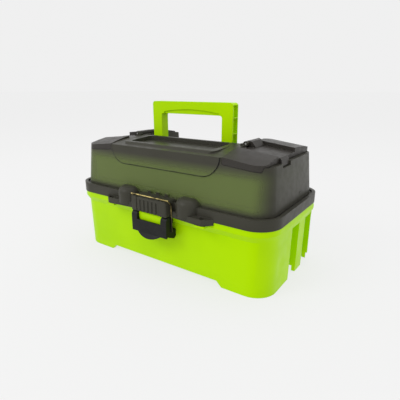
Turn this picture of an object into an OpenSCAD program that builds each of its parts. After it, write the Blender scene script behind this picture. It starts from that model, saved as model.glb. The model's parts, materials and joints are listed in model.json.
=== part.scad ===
// Two-tray fishing tackle box: lime base, smoke lid with two top-access covers,
// folding handle, front draw latch and a pair of trays that swing out with the lid.
// Millimetres, +Z up, X along the length, front towards -Y, origin at the middle of the bottom.

/* [Overall] */
// Length over the lid rim
box_len = 400; // [340:1:480]
// Width over the lid rim, front to back
box_wid = 211; // [180:1:255]
// Height of the parting line between base and lid
base_h = 107; // [100:1:130]
// Plan radius of the rim corners
corner_r = 39; // [30:1:44]

/* [Base] */
// Wall thickness of the base
wall = 2.6; // [2:0.1:3.2]
// Thickness of the base floor
floor_t = 2.8; // [2:0.1:4]
// Height of the straight band under the lid
band_h = 9; // [7:0.5:11]
// Height of the sloping shoulder under the band
shoulder_h = 10; // [8:0.5:12]
// Step in from the lid rim to the end walls
wall_in_x = 3.6; // [3:0.1:6]
// Step in from the lid rim to the front and back walls
wall_in_y = 7; // [5:0.5:9]
// Lean of each wall over the height of the base
draft_in = 1.2; // [0:0.1:3]
// Height of the corner feet
foot_h = 9; // [6:0.5:12]
// Reach of each corner foot along the front, from the end of the box
foot_reach = 88; // [60:1:100]
// Width of a channel in the end walls
channel_w = 31; // [20:1:34]
// Depth of a channel in the end walls
channel_d = 12.5; // [6:0.5:13]
// Distance between the two channels of an end
channel_pitch = 58.5; // [50:0.5:62]

/* [Lid] */
// Wall thickness of the lid
lid_wall = 2.4; // [2:0.1:3]
// Height of the lid rim
lid_rim_h = 17; // [12:0.5:20]
// Step in from the rim to the lid wall
lid_in = 9; // [7:0.5:11]
// Lean of the lid walls, in degrees
lid_lean = 5.4; // [3:0.1:7]
// Height of the saddle's front edge above the parting line
saddle_h = 92.5; // [88:0.5:110]
// Half length of the saddle, the middle part of the top
saddle_half = 113; // [100:1:125]
// Front-to-back radius of the saddle
saddle_r = 550; // [450:10:900]
// Depth from the saddle's front edge to the floors of wells and handle recess
well_drop = 15.5; // [12:0.5:20]
// Thickness of the well and recess floors
well_floor = 2.5; // [2:0.1:3.5]

/* [Covers] */
// Wall thickness of a cover
cover_wall = 2.2; // [1.6:0.1:3]
// Length of a cover, from the saddle outward
cover_len = 65; // [58:1:70]
// Front-to-back radius of a cover's top
cover_r = 400; // [350:10:700]
// Slope of a cover's top, in degrees
cover_tilt = 6.7; // [4:0.1:8]
// Length of a cover's hinge knuckle
knuckle_len = 32; // [20:1:40]
// Width of the latch tab at the end of a cover
tab_w = 26; // [18:1:34]

/* [Handle] */
// Width of the handle over its legs
handle_w = 167; // [140:1:180]
// Width of each leg
leg_w = 20; // [16:1:24]
// Thickness of the handle, front to back
handle_t = 17; // [14:0.5:18]
// Height of the handle above its pivot
handle_rise = 76; // [65:1:78]
// Depth of the grip bar
grip_h = 20.5; // [16:0.5:24]
// Radius of the handle pivot pins
handle_pin_r = 2.5; // [2:0.1:3.5]

/* [Latch] */
// Width of the latch lever and of the catch block on the lid
lever_w = 73; // [64:0.2:76]
// Height of the catch block on the lid
catch_h = 24.4; // [22:0.2:28]
// Reach of the latch in front of the rim
latch_reach = 18; // [16:0.5:20]
// Radius of the bail wire
wire_r = 1.1; // [0.9:0.1:1.5]
// Radius of the latch pivot pin
latch_pin_r = 1.5; // [1.2:0.1:2]

/* [Trays] */
// Height of the lower tray
lower_h = 38; // [30:1:40]
// Height of the upper tray
upper_h = 40; // [28:1:42]
// Wall thickness of the trays
tray_wall = 1.8; // [1.4:0.1:2.4]
// Front-to-back depth of the trays
tray_depth = 140; // [110:1:142]
// Cross dividers in the lower tray
lower_cross = 3; // [1:1:6]
// Cross dividers in the upper tray
upper_cross = 4; // [1:1:7]

/* [Swing arms] */
// Length of an arm between its outer pivots
arm_len = 84; // [70:1:88]
// Width of an arm
arm_w = 9.5; // [8:0.5:10]
// Thickness of an arm
arm_t = 3; // [2:0.5:4]
// Slope of a closed arm above the horizontal, in degrees
arm_rise = 10; // [9:0.5:14]
// Distance between the front and rear arms
arm_gap = 67; // [62:1:72]
// Radius of the tray pins
pin_r = 2; // [1.5:0.1:2.4]

/* [Hinges and padlocks] */
// Radius of the rear hinge knuckles
hinge_r = 4.4; // [4:0.1:5]
// Radius of the rear hinge pins
hinge_pin_r = 1.8; // [1.4:0.1:2.2]
// Distance of each rear hinge from the middle
hinge_x = 120; // [90:1:150]
// Radius of the padlock holes
padlock_r = 4.5; // [3:0.5:5]
// Distance of each padlock hole from the middle
padlock_x = 95; // [80:1:100]

/* [Hidden] */
$fn = 48;

LIME = [0.66, 0.86, 0.02];
SMOKE = [0.28, 0.29, 0.24];

run_gap = 0.06;                         // radial gap of a turning pin
open_gap = 0.25;                        // radial gap of a pivot that closes a linkage
part_gap = 0.5;                         // gap between covers and lid
skin = 0.02;                            // thickness of the plates that a hull joins
over = 1;                               // how far a cut runs past the face it opens

half_l = box_len / 2;
half_w = box_wid / 2;

// Base
band_in = 0.8;                          // base band stands this far inside the lid rim
band_z = base_h - band_h;
wall_top = band_z - shoulder_h;
bl = box_len - 2 * wall_in_x;           // wall length and width at the top of the wall
bw = box_wid - 2 * wall_in_y;
br = corner_r - 3;
skirt = 6;                              // thickness of the skirt that makes the feet
notch_slope = 10;
channel_top = wall_top - 6;

// Lid
lid_z = base_h + lid_rim_h;             // top of the rim
lid_top = base_h + saddle_h + 16;       // above everything moulded in the lid
lean = tan(lid_lean);
lid_l = box_len - 2 * lid_in;
lid_w = box_wid - 2 * lid_in;
lid_r = corner_r - 8;
saddle_front_y = half_w - lid_in - (saddle_h - lid_rim_h) * lean;
saddle_z = base_h + saddle_h;           // saddle height at its front edge
crest_y = 10;                           // the top is highest a little behind the middle
saddle_crest = saddle_z + pow(saddle_front_y + crest_y, 2) / (2 * saddle_r);
well_z = saddle_z - well_drop;          // floors of wells and handle recess
ceil_z = well_z - well_floor;           // underside of those floors

// Handle
pivot_y = -1.5;
pivot_z = well_z + handle_t / 2 + 1;
recess_front = pivot_y - handle_t / 2 - 0.6;
recess_half = saddle_half - 9;
lug_t = 5.6;
lug_gap = 0.7;

// Covers
seam = 0.4;                             // gap between saddle and cover
cover_x0 = saddle_half + seam;
cover_x1 = saddle_half + cover_len;
cover_crest = saddle_crest + 4;
hinge_cx = saddle_half + 1.5;           // cover hinge axis
hinge_cz = saddle_crest + 1.9;
cover_knuckle_r = 4;
cover_pin_r = 1.5;
ear_len = 7;
sill_x = 172 - 113 + saddle_half;       // outer end of the front and back fascias
sill_in = saddle_z - 10;                // sill height at the saddle
sill_slope = 4.94;
end_z = saddle_z - 8.5;                 // height of the lid's end blocks
swing_r = norm([sill_x - hinge_cx, sill_in - (sill_x - saddle_half) * tan(sill_slope) - hinge_cz]);
valley_y0 = -45;                        // the tongue lies in a valley across the cover
valley_y1 = 18;
valley_z = saddle_z + 6.7;
tab_y = -29;                            // middle of the latch tab

// Latch
rim_front = -half_w;
latch_front = rim_front - latch_reach;
lever_r = 8.6;                          // round top of the lever about its pivot
latch_py = latch_front + lever_r;
latch_pz = base_h - 12.7;
catch_half = lever_w / 2;
catch_z0 = base_h - 3.4;
catch_z1 = catch_z0 + catch_h;
boss_half = catch_half - 12;
cheek_in = boss_half + 0.5;
wire_x = catch_half + wire_r + 0.25;
lip = 4.5;                              // reach of the lever's finger lip
bail_y = latch_py + 4;                  // where the bail hooks into the lever
bail_z = latch_pz - 17;
bail_top_y = latch_front + 3.9;
bail_top_z = catch_z1 + wire_r + 0.65;
knee_y = bail_top_y + 7.6;
knee_z = bail_top_z - 8;

// Rear hinge axis and swing arms
axis_y = half_w + 5.2;
axis_z = base_h + 0.5;
arm_dy = arm_len * cos(arm_rise);
arm_dz = arm_len * sin(arm_rise);
arm_z = band_z;                         // base pivots of the arms
rear_y = half_w - 29.5;
front_y = rear_y - arm_gap;
link_y = axis_y - arm_dy;               // pivot between lid and upper tray
link_z = axis_z + arm_dz;
tray_y1 = rear_y - 16;
tray_y0 = tray_y1 - tray_depth;
lower_z = arm_z - 6;
upper_z = lower_z + lower_h + 2;
upper_half = half_l - 25;
lower_half = upper_half - 5;
ear_t = 3;
arm_x = upper_half + 1;                 // inner face of the arms
boss_x = arm_x + arm_t + 0.4;           // inner face of the base bosses
head_t = 1;
head_r = pin_r + 1.4;

shift_y = (latch_reach + lip - (axis_y - half_w) - hinge_r) / 2; // centres the closed box on the origin

// ---------- shared shapes ----------

module placed() {
    translate([0, shift_y, 0]) children();
}

module rrect(l, w, r) {
    square([l - 2 * r, w], center = true);
    square([l, w - 2 * r], center = true);
    for (sx = [-1, 1], sy = [-1, 1])
        translate([sx * (l / 2 - r), sy * (w / 2 - r)]) circle(r);
}

module slab(z0, z1, l, w, r) {
    translate([0, 0, z0]) linear_extrude(z1 - z0) rrect(l, w, r);
}

// Tapered shell between two rounded plates
module taper(z0, l0, w0, r0, z1, l1, w1, r1) {
    hull() {
        translate([0, 0, z0]) linear_extrude(skin) rrect(l0, w0, r0, $fn = 32);
        translate([0, 0, z1 - skin]) linear_extrude(skin) rrect(l1, w1, r1, $fn = 32);
    }
}

module both_ends() {
    children();
    mirror([1, 0, 0]) children();
}

// Rod along X or Y from one coordinate to another
module rod_x(x0, x1, y, z, r) {
    translate([x0, y, z]) rotate([0, 90, 0]) cylinder(r = r, h = x1 - x0);
}

module rod_y(y0, y1, x, z, r) {
    translate([x, y1, z]) rotate([90, 0, 0]) cylinder(r = r, h = y1 - y0);
}

// Rod between two points of the same X plane
module rod_to(x, y0, z0, y1, z1, r) {
    translate([x, y0, z0]) rotate([-atan2(y1 - y0, z1 - z0), 0, 0])
        cylinder(r = r, h = norm([y1 - y0, z1 - z0]));
}

// Profile in Y and Z, extruded along X
module along_x(x0, x1) {
    translate([x0, 0, 0]) rotate([90, 0, 90]) linear_extrude(x1 - x0) children();
}

// Profile in X and Z, extruded along Y
module along_y(y0, y1) {
    translate([0, y1, 0]) rotate([90, 0, 0]) linear_extrude(y1 - y0) children();
}

module block(x0, x1, y0, y1, z0, z1) {
    translate([x0, y0, z0]) cube([x1 - x0, y1 - y0, z1 - z0]);
}

// Pin along X with a head at one end; head = 1 at the far end, -1 at the near end
module headed_pin(x0, x1, y, z, head) {
    rod_x(x0, x1, y, z, pin_r);
    if (head > 0) rod_x(x1 - head_t, x1, y, z, head_r);
    else rod_x(x0, x0 + head_t, y, z, head_r);
}

// ---------- base ----------

function channel_ys() = [0, channel_pitch];

// Channel in the end wall, grown by t for the liner around it
module channel(t) {
    x0 = bl / 2 - channel_d - t;
    for (cy = channel_ys()) along_y(cy - channel_w / 2 - t, cy + channel_w / 2 + t)
        polygon([[x0, -over], [x0, channel_top + t], [bl / 2, wall_top + t],
            [half_l, wall_top + t], [half_l, -over]]);
}

module base_outer() {
    taper(0, bl - 2 * draft_in, bw - 2 * draft_in, br - draft_in, wall_top, bl, bw, br);
    taper(wall_top - skin, bl, bw, br, band_z, box_len - 2 * band_in, box_wid - 2 * band_in,
        corner_r - band_in);
    slab(band_z - skin, base_h, box_len - 2 * band_in, box_wid - 2 * band_in, corner_r - band_in);
}

module base_inner() {
    t = 2 * wall;
    e = 2 * (band_in + wall);
    taper(foot_h + floor_t, bl - 2 * draft_in - t, bw - 2 * draft_in - t, br - draft_in - wall,
        wall_top, bl - t, bw - t, br - wall);
    taper(wall_top - skin, bl - t, bw - t, br - wall, band_z, box_len - e, box_wid - e,
        corner_r - band_in - wall);
    slab(band_z - skin, base_h + over, box_len - e, box_wid - e, corner_r - band_in - wall);
}

// Space under the floor, open between the feet at front and back
module under_floor() {
    slab(-over, foot_h, bl - 2 * draft_in - 2 * skirt, bw - 2 * draft_in - 2 * skirt,
        br - draft_in - skirt);
    top = half_l - foot_reach;
    along_y(-half_w, half_w) polygon([[-top - notch_slope, -over], [-top, foot_h],
        [top, foot_h], [top + notch_slope, -over]]);
}

module latch_boss() {
    fillet = 4;
    z0 = latch_pz - 12;
    z1 = base_h - 4.5;
    front = latch_front + 5;
    along_x(-boss_half, boss_half) difference() {
        polygon([[-bw / 2 + 1, z0 - 12], [front, z0], [front, z1], [rim_front + 1.8, z1]]);
        translate([front, z1]) difference() {
            translate([-over, -fillet]) square([fillet + over, fillet + over]);
            translate([fillet, -fillet]) circle(fillet);
        }
    }
}

module padlock_tab() {
    x0 = padlock_x - 10;
    x1 = padlock_x + 7;
    along_x(x0, x1) polygon([[rim_front + 1.8, band_z + 0.2], [rim_front - 12.2, base_h - 7.8],
        [rim_front - 12.2, base_h - 5.2], [rim_front + 1.8, base_h - 5.2]]);
}

module hinge_base() {
    for (x = [-22.4, 12.4]) {
        rod_x(x, x + 10, axis_y, axis_z, hinge_r);
        block(x, x + 10, half_w - 3, axis_y, axis_z - hinge_r, base_h - 0.1);
    }
}

module arm_boss(y) {
    rod_x(boss_x, half_l - 3, y, arm_z, 6);
    block(boss_x + 4, half_l - 4.5, y - 1.5, y + 1.5, wall_top - 4, arm_z);
}

module base() {
    color(LIME) placed() difference() {
        union() {
            difference() {
                base_outer();
                base_inner();
                under_floor();
            }
            both_ends() {
                intersection() {
                    channel(wall);
                    block(0, half_l, -half_w, half_w, foot_h + floor_t / 2, base_h);
                    block(0, bl / 2 - 1, -half_w, half_w, 0, base_h);
                }
                arm_boss(front_y);
                arm_boss(rear_y);
                padlock_tab();
                translate([hinge_x, 0, 0]) hinge_base();
            }
            latch_boss();
        }
        both_ends() {
            channel(0);
            for (y = [front_y, rear_y]) rod_x(boss_x - over, boss_x + 11, y, arm_z, pin_r + run_gap);
            translate([padlock_x, rim_front - 6.5, 0]) cylinder(r = padlock_r, h = base_h);
            rod_x(hinge_x - 30, hinge_x + 30, axis_y, axis_z, hinge_pin_r + run_gap);
        }
        rod_x(-boss_half - over, boss_half + over, latch_py, latch_pz, latch_pin_r + run_gap);
    }
}

// ---------- lid ----------

function lid_len(z) = lid_l - 2 * (z - lid_z) * lean;
function lid_wid(z) = lid_w - 2 * (z - lid_z) * lean;

// Tapered wall of the lid, moved in by t
module lid_walls(t) {
    taper(lid_z - 3, lid_l - 2 * t, lid_w - 2 * t, lid_r - t,
        lid_top, lid_len(lid_top) - 2 * t, lid_wid(lid_top) - 2 * t, lid_r - 5 - t);
}

// Everything under the crowned top of the saddle
module saddle_under() {
    along_x(-half_l, half_l) intersection() {
        translate([crest_y, saddle_crest - saddle_r]) circle(saddle_r, $fn = 180);
        translate([-half_w, base_h]) square([box_wid, saddle_h + 30]);
    }
}

// Space above the lid's sill that a cover needs to close and swing
module cover_space(r, drop) {
    along_y(-half_w, half_w) {
        difference() {
            intersection() {
                translate([hinge_cx, hinge_cz]) circle(r, $fn = 120);
                translate([saddle_half, base_h]) square([box_len, 200]);
            }
            polygon([[0, 0], [0, sill_in - drop], [saddle_half, sill_in - drop],
                [half_l + 20, sill_in - drop - (half_l + 20 - saddle_half) * tan(sill_slope)],
                [half_l + 20, 0]]);
        }
        translate([saddle_half, end_z]) square([half_l, 60]);
    }
}

module saddle_frame() {
    frame_half = saddle_half - 19;
    y0 = -saddle_front_y + 8;
    intersection() {
        along_x(-frame_half, frame_half) polygon([[y0, ceil_z], [y0, saddle_z + 1], [y0 + 4, saddle_z + 5],
            [recess_front, saddle_z + 8.7], [recess_front, ceil_z]]);
        translate([0, (y0 + 30) / 2, 0]) slab(ceil_z, lid_top, 2 * frame_half, 30 - y0, 14);
    }
}

// Raised apron on the front of the saddle
module apron() {
    half = saddle_half - 3;
    r = 30;
    z0 = base_h + 62;
    intersection() {
        translate([0, -1.2, 0]) lid_walls(0);
        along_y(-half_w, -half_w / 2) {
            translate([-half, z0 + r]) square([2 * half, saddle_z - z0 - r - 1]);
            translate([-half + r, z0]) square([2 * (half - r), r + 1]);
            for (s = [-1, 1]) translate([s * (half - r), z0 + r]) circle(r);
        }
        saddle_under();
    }
}

module catch_block() {
    r = 4;
    edge = 3;
    pad = boss_half + 0.4;
    difference() {
        intersection() {
            along_y(latch_front, -half_w + lid_in + 2) {
                translate([-catch_half, catch_z0]) square([2 * catch_half, catch_h - r]);
                translate([r - catch_half, catch_z0]) square([2 * catch_half - 2 * r, catch_h]);
                for (s = [-1, 1]) translate([s * (catch_half - r), catch_z1 - r]) circle(r);
            }
            translate([0, 0, catch_z0 - over]) linear_extrude(catch_h + 2 * over) {
                translate([-catch_half, latch_front + edge]) square([2 * catch_half, half_w]);
                translate([edge - catch_half, latch_front]) square([2 * (catch_half - edge), half_w]);
                for (s = [-1, 1]) translate([s * (catch_half - edge), latch_front + edge]) circle(edge);
            }
        }
        // fluted front between the legs of the lever, with a lower edge
        block(-pad, pad, latch_front - over, latch_front + 3.4, catch_z1 - 0.8, catch_z1 + over);
        block(-catch_half - over, catch_half + over, rim_front - 0.2, half_w, catch_z0 - over, base_h);
        block(-pad, pad, latch_front - over, latch_front + 1, catch_z0 - over, catch_z1 + over);
        for (i = [-2:2]) translate([i * 8.4, latch_front + 1, catch_z0 - over])
            cylinder(r = 1.6, h = catch_h - 4);
    }
    for (i = [-1:1]) block(i * 18 - 3.5, i * 18 + 3.5, -lid_w / 2 - 3, -lid_w / 2 + 3,
        catch_z1 - 1, catch_z1 + 4);
}

module bulge() {
    r = 20;
    crown = 12;
    h = lid_rim_h + 11;
    translate([catch_half + 25.7, rim_front + 6, base_h]) rotate_extrude() intersection() {
        square([r, h]);
        union() {
            square([r, h - crown]);
            translate([r - crown, h - crown]) circle(crown);
            square([r - crown, h]);
        }
    }
}

module ledge() {
    x0 = catch_half + 5;
    y1 = rim_front + 4;
    y0 = rim_front - 12.8;
    z0 = base_h - 4.5;
    translate([0, 0, z0]) linear_extrude(9.5) difference() {
        polygon([[x0, y1], [x0, y0 + 4], [padlock_x - 9, y0], [padlock_x + 2, y0],
            [padlock_x + 8, y0 + 4], [padlock_x + 20, y1]]);
        translate([padlock_x, rim_front - 6.5]) circle(padlock_r);
    }
}

// Room for the base band behind the part of the ledge that hangs below the parting line
module ledge_room() {
    block(catch_half, padlock_x + 25, rim_front - 0.2, 0, base_h - 10, base_h);
}

module lid_link_lug() {
    x0 = upper_half + 0.5;
    x1 = lid_l / 2 - 1;
    rod_x(x0, x1, link_y, link_z, 6.5);
    block(x0, x1, link_y - 6.5, link_y + 6.5, link_z, link_z + 14);
}

module cover_ears() {
    for (s = [-1, 1]) {
        y0 = s * (knuckle_len / 2 + part_gap + ear_len / 2) - ear_len / 2;
        rod_y(y0, y0 + ear_len, hinge_cx, hinge_cz, cover_knuckle_r);
        block(saddle_half - 7, hinge_cx, y0, y0 + ear_len, saddle_z, hinge_cz);
    }
}

module handle_lugs() {
    leg_in = handle_w / 2 - leg_w;
    for (x = [leg_in - lug_gap - lug_t, handle_w / 2 + lug_gap]) {
        rod_x(x, x + lug_t, pivot_y, pivot_z, handle_t / 2);
        block(x, x + lug_t, recess_front - 1, pivot_y + handle_t / 2, ceil_z + 1, pivot_z);
    }
}

module hinge_lid() {
    rod_x(-12, 12, axis_y, axis_z, hinge_r);
    block(-12, 12, half_w - 4, axis_y, base_h + 0.9, axis_z + hinge_r);
}

module lid() {
    rim_cut = lid_in - 3.5;
    color(SMOKE) placed() difference() {
        union() {
            difference() {
                union() {
                    difference() {
                        slab(base_h, lid_z, box_len, box_wid, corner_r);
                        difference() {
                            slab(lid_z - 3, lid_z + over, box_len - 2 * rim_cut, box_wid - 2 * rim_cut,
                                corner_r - rim_cut);
                            slab(lid_z - 4, lid_z + 2, lid_l, lid_w, lid_r);
                        }
                    }
                    intersection() {
                        lid_walls(0);
                        saddle_under();
                    }
                    apron();
                    saddle_frame();
                    catch_block();
                    both_ends() bulge();
                }
                slab(base_h - over, lid_z - 3 - lid_wall, box_len - 2 * lid_wall, box_wid - 2 * lid_wall,
                    corner_r - lid_wall);
                intersection() {
                    lid_walls(lid_wall);
                    block(-half_l, half_l, -half_w, half_w, base_h, ceil_z);
                }
                slab(lid_z - 8, lid_z - 2, lid_l - 2 * lid_wall, lid_w - 2 * lid_wall, lid_r - lid_wall);
            }
            both_ends() {
                difference() {
                    ledge();
                    ledge_room();
                }
                lid_link_lug();
                translate([hinge_x, 0, 0]) hinge_lid();
            }
        }
        // hollow under the front of the saddle
        block(-recess_half, recess_half, -saddle_front_y + 5, recess_front - 3, ceil_z - over, saddle_z - 3);
        // recessed panel in the frame
        translate([0, (recess_front - 5 - saddle_front_y + 19) / 2, 0])
            slab(saddle_z + 1, lid_top, 2 * saddle_half - 56, recess_front - 5 + saddle_front_y - 19, 8);
        // recess for the folded handle, open at the back
        block(-recess_half, recess_half, recess_front, half_w, well_z, lid_top);
        both_ends() {
            cover_space(swing_r + part_gap, 0);
            block(saddle_half + 3.5, sill_x - 3, -saddle_front_y + 6, saddle_front_y - 6, well_z, lid_top);
            rod_y(-knuckle_len / 2 - part_gap, knuckle_len / 2 + part_gap, hinge_cx, hinge_cz,
                cover_knuckle_r + part_gap);
            block(cover_x1 - 0.6, half_l, tab_y - tab_w / 2 - 1.5, tab_y + tab_w / 2 + 1.5,
                end_z - 6, lid_top);
            rod_x(upper_half, upper_half + 11, link_y, link_z, pin_r + run_gap);
            rod_x(hinge_x - 30, hinge_x + 30, axis_y, axis_z, hinge_pin_r + run_gap);
        }
    }
    color(SMOKE) placed() difference() {
        union() {
            handle_lugs();
            mirror([1, 0, 0]) handle_lugs();
            both_ends() cover_ears();
        }
        both_ends() {
            rod_x(40, recess_half, pivot_y, pivot_z, handle_pin_r + run_gap);
            rod_y(-40, 40, hinge_cx, hinge_cz, cover_pin_r + run_gap);
        }
    }
}

module hinge_pins() {
    color("silver") placed() both_ends()
        rod_x(hinge_x - 22, hinge_x + 22, axis_y, axis_z, hinge_pin_r);
}

// ---------- covers ----------

// Solid under a cover's top, with walls and top moved in by t
module cover_body(t) {
    x1 = cover_x1 - t;
    r = 14 - t;
    tilt = tan(cover_tilt);
    difference() {
        intersection() {
            lid_walls(t);
            translate([0, 0, base_h]) linear_extrude(160) {
                translate([0, -half_w]) square([x1 - r, box_wid]);
                translate([0, -saddle_front_y + t + r]) square([x1, 2 * (saddle_front_y - t - r)]);
                for (s = [-1, 1]) translate([x1 - r, s * (saddle_front_y - t - r)]) circle(r);
            }
            translate([saddle_half, 0, cover_crest - t]) rotate([0, cover_tilt, 0])
                translate([-20, crest_y, -cover_r]) rotate([0, 90, 0]) cylinder(r = cover_r, h = 120, $fn = 180);
            block(cover_x0, half_l, -half_w, half_w, base_h, lid_top);
        }
        // valley for the tongue
        translate([0, 0, valley_z - t]) along_y(valley_y0 - t, valley_y1 + t)
            polygon([[saddle_half - 5, 5 * tilt], [half_l, -(half_l - saddle_half) * tilt],
                [half_l, 40], [saddle_half - 5, 40]]);
        // open sill, and end blocks outside the swing
        along_y(-half_w, half_w) {
            polygon([[0, base_h], [0, sill_in + part_gap], [saddle_half, sill_in + part_gap],
                [half_l, sill_in + part_gap - (half_l - saddle_half) * tan(sill_slope)], [half_l, base_h]]);
            difference() {
                translate([saddle_half + 40, base_h]) square([half_l, end_z + part_gap - base_h]);
                translate([hinge_cx, hinge_cz]) circle(swing_r - t, $fn = 120);
            }
        }
    }
}

// Latch tab that curls over the end of the lid
module cover_tab() {
    tilt = tan(cover_tilt);
    z1 = valley_z - (cover_x1 - saddle_half) * tilt;
    out = 3.6;
    along_y(tab_y - tab_w / 2, tab_y + tab_w / 2) polygon([[cover_x1 - 6, z1 + 6 * tilt],
        [cover_x1 + 0.6, z1], [cover_x1 + out, z1 - 3], [cover_x1 + out + 0.8, end_z - 4.6],
        [cover_x1 + out - 1.6, end_z - 5.4], [cover_x1 + 0.8, z1 - 5], [cover_x1 - 6, z1 - 3]]);
}

module cover_knuckle() {
    y1 = knuckle_len / 2;
    rod_y(-y1, y1, hinge_cx, hinge_cz, cover_knuckle_r);
    along_y(-y1, y1) polygon([[hinge_cx, hinge_cz + cover_knuckle_r], [hinge_cx + 7, hinge_cz + 3.4],
        [hinge_cx + 14, valley_z - 1], [hinge_cx + 14, valley_z - 3], [hinge_cx, valley_z - 3]]);
}

module cover() {
    ear_gap = ear_len + 2 * part_gap;
    difference() {
        union() {
            difference() {
                cover_body(0);
                translate([-over, 0, 0]) cover_body(cover_wall);
                block(0, sill_x - 12, -saddle_front_y + 5, saddle_front_y - 5, base_h, saddle_z - 4);
            }
            cover_tab();
            cover_knuckle();
        }
        for (s = [-1, 1]) {
            yc = s * (knuckle_len / 2 + part_gap + ear_len / 2);
            block(0, hinge_cx + cover_knuckle_r + 1, yc - ear_gap / 2, yc + ear_gap / 2, base_h, lid_top + 10);
        }
        rod_y(-40, 40, hinge_cx, hinge_cz, cover_pin_r + run_gap);
    }
}

module cover_right() {
    color(SMOKE) placed() cover();
}

module cover_left() {
    color(SMOKE) placed() mirror([1, 0, 0]) cover();
}

module cover_pin() {
    color("silver") placed() rod_y(-knuckle_len / 2 - ear_len, knuckle_len / 2 + ear_len,
        hinge_cx, hinge_cz, cover_pin_r);
}

module cover_pin_right() {
    cover_pin();
}

module cover_pin_left() {
    mirror([1, 0, 0]) cover_pin();
}

// ---------- handle ----------

module handle() {
    top = pivot_z + handle_rise;
    inner = handle_w / 2 - leg_w;
    y0 = pivot_y - handle_t / 2;
    y1 = pivot_y + handle_t / 2;
    color(LIME) placed() difference() {
        union() {
            along_y(y0, y1) difference() {
                union() {
                    translate([0, (pivot_z + top) / 2]) rrect(handle_w, handle_rise, 5);
                    translate([-handle_w / 2, pivot_z]) square([handle_w, handle_rise / 2]);
                }
                translate([0, (pivot_z + top - grip_h) / 2])
                    rrect(2 * inner, handle_rise - grip_h, 4);
                translate([-inner, pivot_z - over]) square([2 * inner, handle_rise / 2]);
            }
            both_ends() rod_x(inner, handle_w / 2, pivot_y, pivot_z, handle_t / 2);
        }
        both_ends() {
            // hollow outer side of each leg, with two cross ribs
            for (z = [[10, 27], [28.6, 52], [53.6, handle_rise - 4]])
                block(handle_w / 2 - 5, handle_w / 2 + over, y0 + 2.2, y1 - 2.2, pivot_z + z[0], pivot_z + z[1]);
            rod_x(inner - over, handle_w / 2 + over, pivot_y, pivot_z, handle_pin_r + run_gap);
        }
        // bevel under the front and back of the grip
        for (s = [-1, 1]) along_y(pivot_y + s * handle_t / 2 - 2, pivot_y + s * handle_t / 2 + 2)
            intersection() {
                translate([0, top - grip_h + 8 - 330]) circle(330, $fn = 180);
                translate([-inner + 6, top - grip_h - over]) square([2 * inner - 12, 20]);
            }
    }
}

module handle_pins() {
    leg_in = handle_w / 2 - leg_w;
    color("silver") placed() both_ends()
        rod_x(leg_in - lug_gap - lug_t, handle_w / 2 + lug_gap + lug_t, pivot_y, pivot_z, handle_pin_r);
}

// ---------- latch ----------

module latch_lever() {
    half = lever_w / 2;
    bottom = latch_pz - 24.5;
    plate_top = latch_pz - 5.2;
    color([0.12, 0.12, 0.13]) placed() difference() {
        union() {
            both_ends() {
                rod_x(cheek_in, half, latch_py, latch_pz, lever_r);
                block(cheek_in, half, latch_front, latch_py + lever_r - 2, bottom, latch_pz);
                along_x(cheek_in, half) polygon([[latch_front + 4, bottom + 9], [-bw / 2 - 1.5, bottom + 9],
                    [-bw / 2 - 1.5, bottom - 3], [-bw / 2 - 6, bottom - 6.5], [latch_front + 6, bottom - 1]]);
            }
            // front plate, with an arched finger lip below
            block(-half, half, latch_front, latch_front + 2.8, bottom - 1.3, plate_top);
            intersection() {
                union() {
                    block(-half, half, latch_front, latch_front + 2.8, bottom - 10, bottom);
                    along_x(-half, half) polygon([[latch_front, bottom - 1], [latch_front - lip, bottom - 8.3],
                        [latch_front - 2.5, bottom - 9.3], [latch_front + 2.8, bottom - 3]]);
                }
                translate([0, latch_front + 20, bottom - 8.3 + 45]) rotate([90, 0, 0])
                    cylinder(r = 45, h = 40, $fn = 120);
            }
        }
        rod_x(-half + 1.2, half - 1.2, latch_py, latch_pz, latch_pin_r + run_gap);
        rod_x(-half - over, half + over, bail_y, bail_z, wire_r + run_gap);
    }
}

module latch_pin() {
    color("silver") placed() rod_x(1.5 - lever_w / 2, lever_w / 2 - 1.5, latch_py, latch_pz, latch_pin_r);
}

module wire_bail() {
    color([0.80, 0.66, 0.30]) placed() {
        rod_x(-wire_x, wire_x, bail_top_y, bail_top_z, wire_r);
        both_ends() {
            translate([wire_x, bail_top_y, bail_top_z]) sphere(wire_r + 0.05);
            translate([wire_x, knee_y, knee_z]) sphere(wire_r + 0.05);
            translate([wire_x, bail_y, bail_z]) sphere(wire_r + 0.05);
            rod_to(wire_x, knee_y, knee_z, bail_top_y, bail_top_z, wire_r);
            rod_to(wire_x, bail_y, bail_z, knee_y, knee_z, wire_r);
            rod_x(wire_x - 5, wire_x, bail_y, bail_z, wire_r);
        }
    }
}

// ---------- trays ----------

module tray(half, z, h, cross) {
    mid = (tray_y0 + tray_y1) / 2;
    difference() {
        translate([0, mid, 0]) slab(z, z + h, 2 * half, tray_depth, 9);
        translate([0, mid, 0]) slab(z + tray_wall, z + h + over, 2 * (half - tray_wall),
            tray_depth - 2 * tray_wall, 9 - tray_wall);
    }
    // one divider along, the others across
    block(-half + 1, half - 1, mid - tray_wall / 2, mid + tray_wall / 2, z + 1, z + h - 3);
    step = 2 * half / (cross + 1);
    for (i = [1:cross])
        block(-half + i * step - tray_wall / 2, -half + i * step + tray_wall / 2,
            tray_y0 + 1, tray_y1 - 1, z + 1, z + h - 5);
}

module lower_tray() {
    zb = arm_z + arm_dz / 2;
    ys = [front_y - arm_dy / 2, rear_y - arm_dy / 2];
    color(LIME) placed() difference() {
        union() {
            tray(lower_half, lower_z, lower_h, lower_cross);
            both_ends() for (y = ys) rod_x(lower_half - 1, arm_x - 0.4, y, zb, 5);
        }
        both_ends() for (y = ys)
            rod_x(lower_half - tray_wall - over, arm_x, y, zb, pin_r + run_gap);
    }
}

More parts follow.
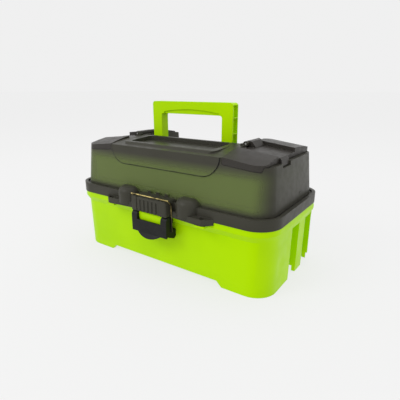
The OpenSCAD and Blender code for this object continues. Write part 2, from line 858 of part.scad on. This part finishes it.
module upper_tray() {
    zc = arm_z + arm_dz;
    x0 = upper_half - ear_t;
    color(LIME) placed() difference() {
        union() {
            tray(upper_half, upper_z, upper_h, upper_cross);
            both_ends() {
                for (y = [front_y - arm_dy, rear_y - arm_dy]) {
                    rod_x(x0, upper_half, y, zc, 5.3);
                    block(x0, upper_half, y - 5.3, y + 5.3, zc, upper_z + 2);
                }
                rod_x(x0, upper_half, link_y, link_z, 6);
                block(x0, upper_half, link_y - 6, link_y + 6, link_z, upper_z + 2);
            }
        }
        both_ends() {
            for (y = [front_y - arm_dy, rear_y - arm_dy])
                rod_x(x0 - over, upper_half + over, y, zc, pin_r + run_gap);
            rod_x(x0 - over, upper_half + over, link_y, link_z, pin_r + open_gap);
        }
    }
}

// ---------- swing arms and their pins ----------

// Arm with its base pivot at y; gap is the radial gap of the tray holes
module arm(y, gap) {
    color([0.20, 0.20, 0.21]) placed() difference() {
        union() {
            rod_x(arm_x, arm_x + arm_t, y, arm_z, arm_w / 2);
            rod_x(arm_x, arm_x + arm_t, y - arm_dy, arm_z + arm_dz, arm_w / 2);
            translate([arm_x, y, arm_z]) rotate([-arm_rise, 0, 0])
                translate([0, -arm_len, 0.6 - arm_w / 2]) cube([arm_t, arm_len, arm_w - 1.2]);
        }
        rod_x(arm_x - over, arm_x + arm_t + over, y, arm_z, pin_r + run_gap);
        for (s = [0.5, 1]) rod_x(arm_x - over, arm_x + arm_t + over, y - s * arm_dy,
            arm_z + s * arm_dz, pin_r + gap);
    }
}

module arm_front_right() {
    arm(front_y, open_gap);
}

module arm_front_left() {
    mirror([1, 0, 0]) arm(front_y, open_gap);
}

module arm_rear_right() {
    arm(rear_y, run_gap);
}

module arm_rear_left() {
    mirror([1, 0, 0]) arm(rear_y, run_gap);
}

module base_arm_pins() {
    color("silver") placed() both_ends() for (y = [front_y, rear_y])
        headed_pin(arm_x - head_t - 0.1, boss_x + 10, y, arm_z, -1);
}

module lower_tray_pins() {
    color("silver") placed() both_ends() for (y = [front_y, rear_y])
        headed_pin(lower_half - tray_wall, arm_x + arm_t + head_t + 0.1, y - arm_dy / 2,
            arm_z + arm_dz / 2, 1);
}

module upper_tray_pins() {
    color("silver") placed() both_ends() for (y = [front_y, rear_y])
        headed_pin(upper_half - ear_t, arm_x + arm_t + head_t + 0.1, y - arm_dy, arm_z + arm_dz, 1);
}

module lid_tray_pins() {
    color("silver") placed() both_ends()
        rod_x(upper_half - ear_t, upper_half + 10, link_y, link_z, pin_r);
}

base();
lid();
hinge_pins();
cover_left();
cover_right();
cover_pin_left();
cover_pin_right();
handle();
handle_pins();
latch_lever();
latch_pin();
wire_bail();
lower_tray();
upper_tray();
arm_front_left();
arm_front_right();
arm_rear_left();
arm_rear_right();
base_arm_pins();
lower_tray_pins();
upper_tray_pins();
lid_tray_pins();
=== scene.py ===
import json
import math

import bpy
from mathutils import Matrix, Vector


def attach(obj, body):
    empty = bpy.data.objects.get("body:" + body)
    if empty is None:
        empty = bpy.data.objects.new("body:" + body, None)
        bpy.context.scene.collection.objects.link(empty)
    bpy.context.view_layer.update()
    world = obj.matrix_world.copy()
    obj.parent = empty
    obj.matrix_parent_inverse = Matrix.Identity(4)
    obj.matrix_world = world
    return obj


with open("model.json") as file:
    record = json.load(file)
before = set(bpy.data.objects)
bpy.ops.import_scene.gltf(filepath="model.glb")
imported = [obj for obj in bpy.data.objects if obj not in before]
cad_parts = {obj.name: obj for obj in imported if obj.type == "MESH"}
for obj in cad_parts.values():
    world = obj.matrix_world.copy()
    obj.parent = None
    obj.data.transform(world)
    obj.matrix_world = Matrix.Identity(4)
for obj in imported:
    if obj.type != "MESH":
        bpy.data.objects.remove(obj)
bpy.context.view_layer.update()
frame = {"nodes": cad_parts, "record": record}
nodes = frame["nodes"]
slot_of = {s["node"]: s["material_slot"] for s in frame["record"]["subparts"]}

MM = 0.001
SOLID, CLEAR = 0.94, 0.62            # how solid the smoke is, and how solid in the lid's clear part

# ---------- camera ----------

AZIMUTH, ELEVATION = 34.9, 17.8      # degrees, the photo's viewing angle
DISTANCE = 0.672                     # m from the aim
AIM = Vector((-0.0063, 0.0352, 0.0846))
LENS = 31.1                          # mm

a, e = math.radians(AZIMUTH), math.radians(ELEVATION)
back = Vector((math.sin(a) * math.cos(e), -math.cos(a) * math.cos(e), math.sin(e)))
cam = bpy.data.objects.new("camera", bpy.data.cameras.new("camera"))
cam.data.lens = LENS
cam.data.sensor_width = 36
cam.location = AIM + back * DISTANCE
cam.rotation_mode = "QUATERNION"
cam.rotation_quaternion = (-back).to_track_quat("-Z", "Y")
bpy.context.scene.collection.objects.link(cam)
bpy.context.scene.camera = cam

# ---------- materials ----------


class Tree:
    """A material with a Principled shader, and short ways to add nodes to it."""

    def __init__(self, name, **sockets):
        self.mat = bpy.data.materials.new(name)
        self.mat.use_nodes = True
        self.nt = self.mat.node_tree
        self.bsdf = self.nt.nodes["Principled BSDF"]
        for key, value in sockets.items():
            self.bsdf.inputs[key.replace("_", " ")].default_value = value
        self.coord = self.node("ShaderNodeTexCoord").outputs["Object"]

    def node(self, kind, **settings):
        n = self.nt.nodes.new(kind)
        for key, value in settings.items():
            setattr(n, key, value)
        return n

    def link(self, a, b):
        self.nt.links.new(a, b)

    def stretched(self, scale):
        """Object coordinates stretched along one axis, for flow marks and scratches."""
        m = self.node("ShaderNodeMapping")
        m.inputs["Scale"].default_value = scale
        self.link(self.coord, m.inputs["Vector"])
        return m.outputs["Vector"]

    def noise(self, scale, detail=3.0, rough=0.5, vector=None):
        n = self.node("ShaderNodeTexNoise")
        n.inputs["Scale"].default_value = scale
        n.inputs["Detail"].default_value = detail
        n.inputs["Roughness"].default_value = rough
        self.link(vector or self.coord, n.inputs["Vector"])
        return n.outputs["Fac"]

    def spread(self, value, low, high, from_low=0.3, from_high=0.7):
        m = self.node("ShaderNodeMapRange", interpolation_type="SMOOTHSTEP")
        ends = {"From Min": from_low, "From Max": from_high, "To Min": low, "To Max": high}
        for key, v in ends.items():
            m.inputs[key].default_value = v
        self.link(value, m.inputs["Value"])
        return m.outputs["Result"]

    def colour(self, factor, low, high):
        m = self.node("ShaderNodeMix", data_type="RGBA")
        m.inputs["A"].default_value = (*low, 1)
        m.inputs["B"].default_value = (*high, 1)
        self.link(factor, m.inputs["Factor"])
        self.link(m.outputs["Result"], self.bsdf.inputs["Base Color"])
        return m.outputs["Result"]

    def math(self, operation, *values):
        m = self.node("ShaderNodeMath", operation=operation)
        for socket, value in zip(m.inputs, values):
            self.link(value, socket)
        return m.outputs[0]

    def roughness(self, value):
        self.link(value, self.bsdf.inputs["Roughness"])

    def relief(self, *layers, edge=0.0006):
        """Bump layers of (height, depth in metres), over edges that are rounded by edge."""
        round_off = self.node("ShaderNodeBevel", samples=4)
        round_off.inputs["Radius"].default_value = edge
        normal = round_off.outputs["Normal"]
        for height, depth in layers:
            b = self.node("ShaderNodeBump")
            b.inputs["Strength"].default_value = 1.0
            b.inputs["Distance"].default_value = depth
            self.link(height, b.inputs["Height"])
            self.link(normal, b.inputs["Normal"])
            normal = b.outputs["Normal"]
        self.link(normal, self.bsdf.inputs["Normal"])


def lime_plastic(name, low, high, grain=0.00002):
    t = Tree(name, IOR=1.49)
    t.bsdf.inputs["Specular IOR Level"].default_value = 0.2
    t.bsdf.inputs["Specular Tint"].default_value = (0.7, 1.0, 0.05, 1)
    t.colour(t.spread(t.noise(9, 4), 0, 1), low, high)
    t.roughness(t.spread(t.noise(60, 5), 0.34, 0.46))
    t.relief((t.noise(1400, 2), grain), (t.noise(22, 2), 0.00015))
    return t.mat


def smoke_plastic(name, low, high):
    t = Tree(name, IOR=1.5, Alpha=SOLID)
    t.bsdf.inputs["Specular IOR Level"].default_value = 0.16
    t.smoke = t.colour(t.spread(t.noise(7, 3, vector=t.stretched((1, 1, 2.5))), 0, 1), low, high)
    t.roughness(t.spread(t.noise(80, 5), 0.30, 0.42))
    t.relief((t.noise(1600, 2), 0.000015), (t.noise(12, 1), 0.00006), edge=0.0009)
    return t


def frosted_window_painted_glow(t, colour, clear, solid, half_length, heights, front):
    """Makes the lid's long walls clearer between two heights, with a painted olive glow that stands in
    for the lime trays' light seen through them, and fades out at their ends.

    What stands further forward than front, such as the rim and the catch block, stays as it is.
    """
    axes = t.node("ShaderNodeSeparateXYZ")
    t.link(t.coord, axes.inputs[0])
    side = t.math("ABSOLUTE", axes.outputs["X"])
    (low0, low1), (high0, high1) = heights
    window = t.spread(axes.outputs["Z"], 0, 1, low0, low1)
    window = t.math("MULTIPLY", window, t.spread(axes.outputs["Z"], 1, 0, high0, high1))
    window = t.math("MULTIPLY", window, t.spread(side, 1, 0, *half_length))
    window = t.math("MULTIPLY", window, t.spread(axes.outputs["Y"], 0, 1, *front))
    # painted light: the clear part's colour is a painted glow, standing in for the lime trays seen
    # through the walls
    mix = t.node("ShaderNodeMix", data_type="RGBA")
    t.link(window, mix.inputs["Factor"])
    t.link(t.smoke, mix.inputs["A"])
    mix.inputs["B"].default_value = (*colour, 1)
    t.link(mix.outputs["Result"], t.bsdf.inputs["Base Color"])
    t.link(t.spread(window, solid, clear, 0, 1), t.bsdf.inputs["Alpha"])
    return t


def black_plastic(name):
    t = Tree(name, IOR=1.5)
    t.bsdf.inputs["Specular IOR Level"].default_value = 0.2
    t.colour(t.spread(t.noise(40, 4), 0, 1), (0.006, 0.006, 0.006), (0.010, 0.010, 0.010))
    scratches = t.noise(60, 4, vector=t.stretched((1, 18, 18)))
    t.roughness(t.spread(scratches, 0.36, 0.52))
    t.relief((t.noise(2200, 2), 0.00003), (scratches, 0.00001), edge=0.0008)
    return t.mat


def metal(name, low, high, rough, stretch, edge=0.0003, painted_shade_below=None):
    t = Tree(name, Metallic=1.0)
    drawn = t.noise(300, 3, vector=t.stretched(stretch))
    tone_and_painted_shade = t.spread(t.noise(120, 4), 0, 1)
    if painted_shade_below:
        axes = t.node("ShaderNodeSeparateXYZ")
        t.link(t.coord, axes.inputs[0])
        # painted shade: below these heights the colour is darkened, as if the wire were in shadow
        tone_and_painted_shade = t.math("MULTIPLY", tone_and_painted_shade, t.spread(axes.outputs["Z"], 0, 1, *painted_shade_below))
    t.colour(tone_and_painted_shade, low, high)
    t.roughness(t.spread(drawn, rough - 0.06, rough + 0.08))
    t.relief((drawn, 0.00001), edge=edge)
    return t.mat


BAIL_PAINTED_SHADE = (0.098, 0.112)          # heights in m between which the bail turns from dark to bright: painted shade on its lower legs, as if they stood in the lever's shadow

materials = {
    "lime": lime_plastic("lime_plastic", (0.38, 0.68, 0.0), (0.43, 0.74, 0.0)),
    "smoke": smoke_plastic("smoke_plastic", (0.035, 0.031, 0.027), (0.044, 0.040, 0.035)).mat,
    "black": black_plastic("black_nylon"),
    "steel": metal("zinc_steel", (0.50, 0.50, 0.49), (0.62, 0.62, 0.60), 0.3, (1, 30, 30)),
    # the brass's dark colour serves both its random tone and the painted shade on its lower legs
    "brass": metal("brass_wire", (0.06, 0.05, 0.03), (0.70, 0.56, 0.22), 0.30, (1, 1, 1),
                   painted_shade_below=BAIL_PAINTED_SHADE),
}

# the lid is frosted: its long walls are clearer and have a painted olive glow that stands in for the lime
# of the trays showing through them, and its rim and top are plain smoke. Each pair is where the clear
# part fades, in m.
LID_HALF_LENGTH = (0.162, 0.190)
LID_FRONT = (-0.0930, -0.0912)
LID_HEIGHTS = ((0.122, 0.134), (0.168, 0.190))
GLOW = (0.150, 0.190, 0.065)         # painted olive glow of the clear part, standing in for the light of the lime trays behind it
lid_smoke = frosted_window_painted_glow(smoke_plastic("smoke_lid", (0.042, 0.041, 0.030), (0.053, 0.051, 0.039)),
                           GLOW, CLEAR, SOLID, LID_HALF_LENGTH, LID_HEIGHTS, LID_FRONT).mat

# ---------- smooth shading for the CAD nodes ----------

MERGE = 0.000004                     # corners this close are joined, in m
SHARP = 30                           # degrees between the faces of a sharp edge


def soften_group():
    """Joins the facets of a CAD mesh, and shades smooth all but its sharp edges."""
    g = bpy.data.node_groups.new("soften", "GeometryNodeTree")
    g.interface.new_socket("Geometry", in_out="INPUT", socket_type="NodeSocketGeometry")
    g.interface.new_socket("Geometry", in_out="OUTPUT", socket_type="NodeSocketGeometry")
    new = g.nodes.new
    start, end = new("NodeGroupInput"), new("NodeGroupOutput")
    merge = new("GeometryNodeMergeByDistance")
    merge.inputs["Distance"].default_value = MERGE
    smooth = new("GeometryNodeSetShadeSmooth")
    smooth.domain = "FACE"
    smooth.inputs["Shade Smooth"].default_value = True
    sharp = new("GeometryNodeSetShadeSmooth")
    sharp.domain = "EDGE"
    sharp.inputs["Shade Smooth"].default_value = False
    angle = new("GeometryNodeInputMeshEdgeAngle")
    over = new("FunctionNodeCompare")
    over.data_type = "FLOAT"
    over.operation = "GREATER_THAN"
    over.inputs[1].default_value = math.radians(SHARP)
    link = g.links.new
    link(start.outputs[0], merge.inputs["Geometry"])
    link(merge.outputs["Geometry"], smooth.inputs["Geometry"])
    link(smooth.outputs["Geometry"], sharp.inputs["Geometry"])
    link(angle.outputs["Unsigned Angle"], over.inputs[0])
    link(over.outputs[0], sharp.inputs["Selection"])
    link(sharp.outputs["Geometry"], end.inputs[0])
    return g


soften = soften_group()
for name, obj in nodes.items():
    obj.data.materials.clear()
    obj.data.materials.append(lid_smoke if name == "lid" else materials[slot_of[name]])
    obj.modifiers.new("soften", "NODES").node_group = soften

# ---------- black line painted as the shade along the apron's edge on the lid's front ---

# in mm, as in the CAD
SHIFT_Y = 6.45                       # the CAD's shift of the box along Y
LID_HALF_WIDTH, LID_RIM_TOP = 96.5, 124
LEAN = math.tan(math.radians(5.4))   # of the lid's walls
APRON = 1.2                          # how far the apron stands off the wall
APRON_HALF, APRON_BOTTOM, APRON_R = 110, 169, 30
SHADE_LINE_R = 0.7
CORNER_STEPS = 10


def on_wall(x, z):
    """A point on the lid's front, half way out to the apron's face."""
    y = -(LID_HALF_WIDTH - (z - LID_RIM_TOP) * LEAN) - APRON * 0.5 + SHIFT_Y
    return Vector((x, y, z)) * MM


def curve_piece(name, points, radius, material, body):
    data = bpy.data.curves.new(name, "CURVE")
    data.dimensions = "3D"
    data.bevel_depth = radius
    data.bevel_resolution = 2
    data.use_fill_caps = True
    line = data.splines.new("POLY")
    line.points.add(len(points) - 1)
    for p, co in zip(line.points, points):
        p.co = (*co, 1)
    obj = bpy.data.objects.new(name, data)
    bpy.context.scene.collection.objects.link(obj)
    data.materials.append(material)
    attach(obj, body)
    return obj


# a black tube along the apron's edge: painted shade, standing in for the shadow in the step between apron
# and wall
corner = [math.radians(90 / CORNER_STEPS * i) for i in range(CORNER_STEPS + 1)]
right = [(APRON_HALF - APRON_R + APRON_R * math.cos(c), APRON_BOTTOM + APRON_R - APRON_R * math.sin(c))
         for c in corner]
path = [(-x, z) for x, z in right] + [(x, z) for x, z in reversed(right)]
shade_line = [on_wall(x, z) for x, z in path]
curve_piece("apron_shade_line", shade_line, SHADE_LINE_R * MM, materials["black"], "lid")

# ---------- floor and light ----------

BACKGROUND = 0.87                    # linear grey of the studio
FLOOR_GLOW = 0.72                    # what the floor gives off, so that it meets the background
FLOOR = 40.0                         # half its width, in m
floor_mesh = bpy.data.meshes.new("floor")
floor_mesh.from_pydata([(-FLOOR, -FLOOR, 0), (FLOOR, -FLOOR, 0), (FLOOR, FLOOR, 0), (-FLOOR, FLOOR, 0)],
                       [], [(0, 1, 2, 3)])
floor = bpy.data.objects.new("floor", floor_mesh)
bpy.context.scene.collection.objects.link(floor)
pale = Tree("pale_floor", Base_Color=(0.16, 0.16, 0.16, 1), Roughness=0.95,
            Emission_Color=(1, 1, 1, 1), Emission_Strength=FLOOR_GLOW)
pale.bsdf.inputs["Specular IOR Level"].default_value = 0.0
floor_mesh.materials.append(pale.mat)

world = bpy.data.worlds.new("studio")
bpy.context.scene.world = world
world.use_nodes = True
world.node_tree.nodes["Background"].inputs["Color"].default_value = (1, 1, 1, 1)
world.node_tree.nodes["Background"].inputs["Strength"].default_value = BACKGROUND


def area_light(name, place, target, size, power):
    data = bpy.data.lights.new(name, "AREA")
    data.shape = "RECTANGLE"
    data.size, data.size_y = size
    data.energy = power
    obj = bpy.data.objects.new(name, data)
    obj.location = place
    obj.rotation_mode = "QUATERNION"
    obj.rotation_quaternion = (Vector(target) - Vector(place)).to_track_quat("-Z", "Y")
    bpy.context.scene.collection.objects.link(obj)


LIT = (0, 0, 0.1)                    # where the lights point
area_light("key", (-0.9, -1.6, 1.5), LIT, (1.0, 0.8), 13)
area_light("top", (0.2, 0.4, 1.8), LIT, (1.4, 1.0), 6)
area_light("side", (1.9, -0.2, 0.9), LIT, (0.8, 0.8), 0.3)

bpy.context.scene.view_settings.view_transform = "Standard"
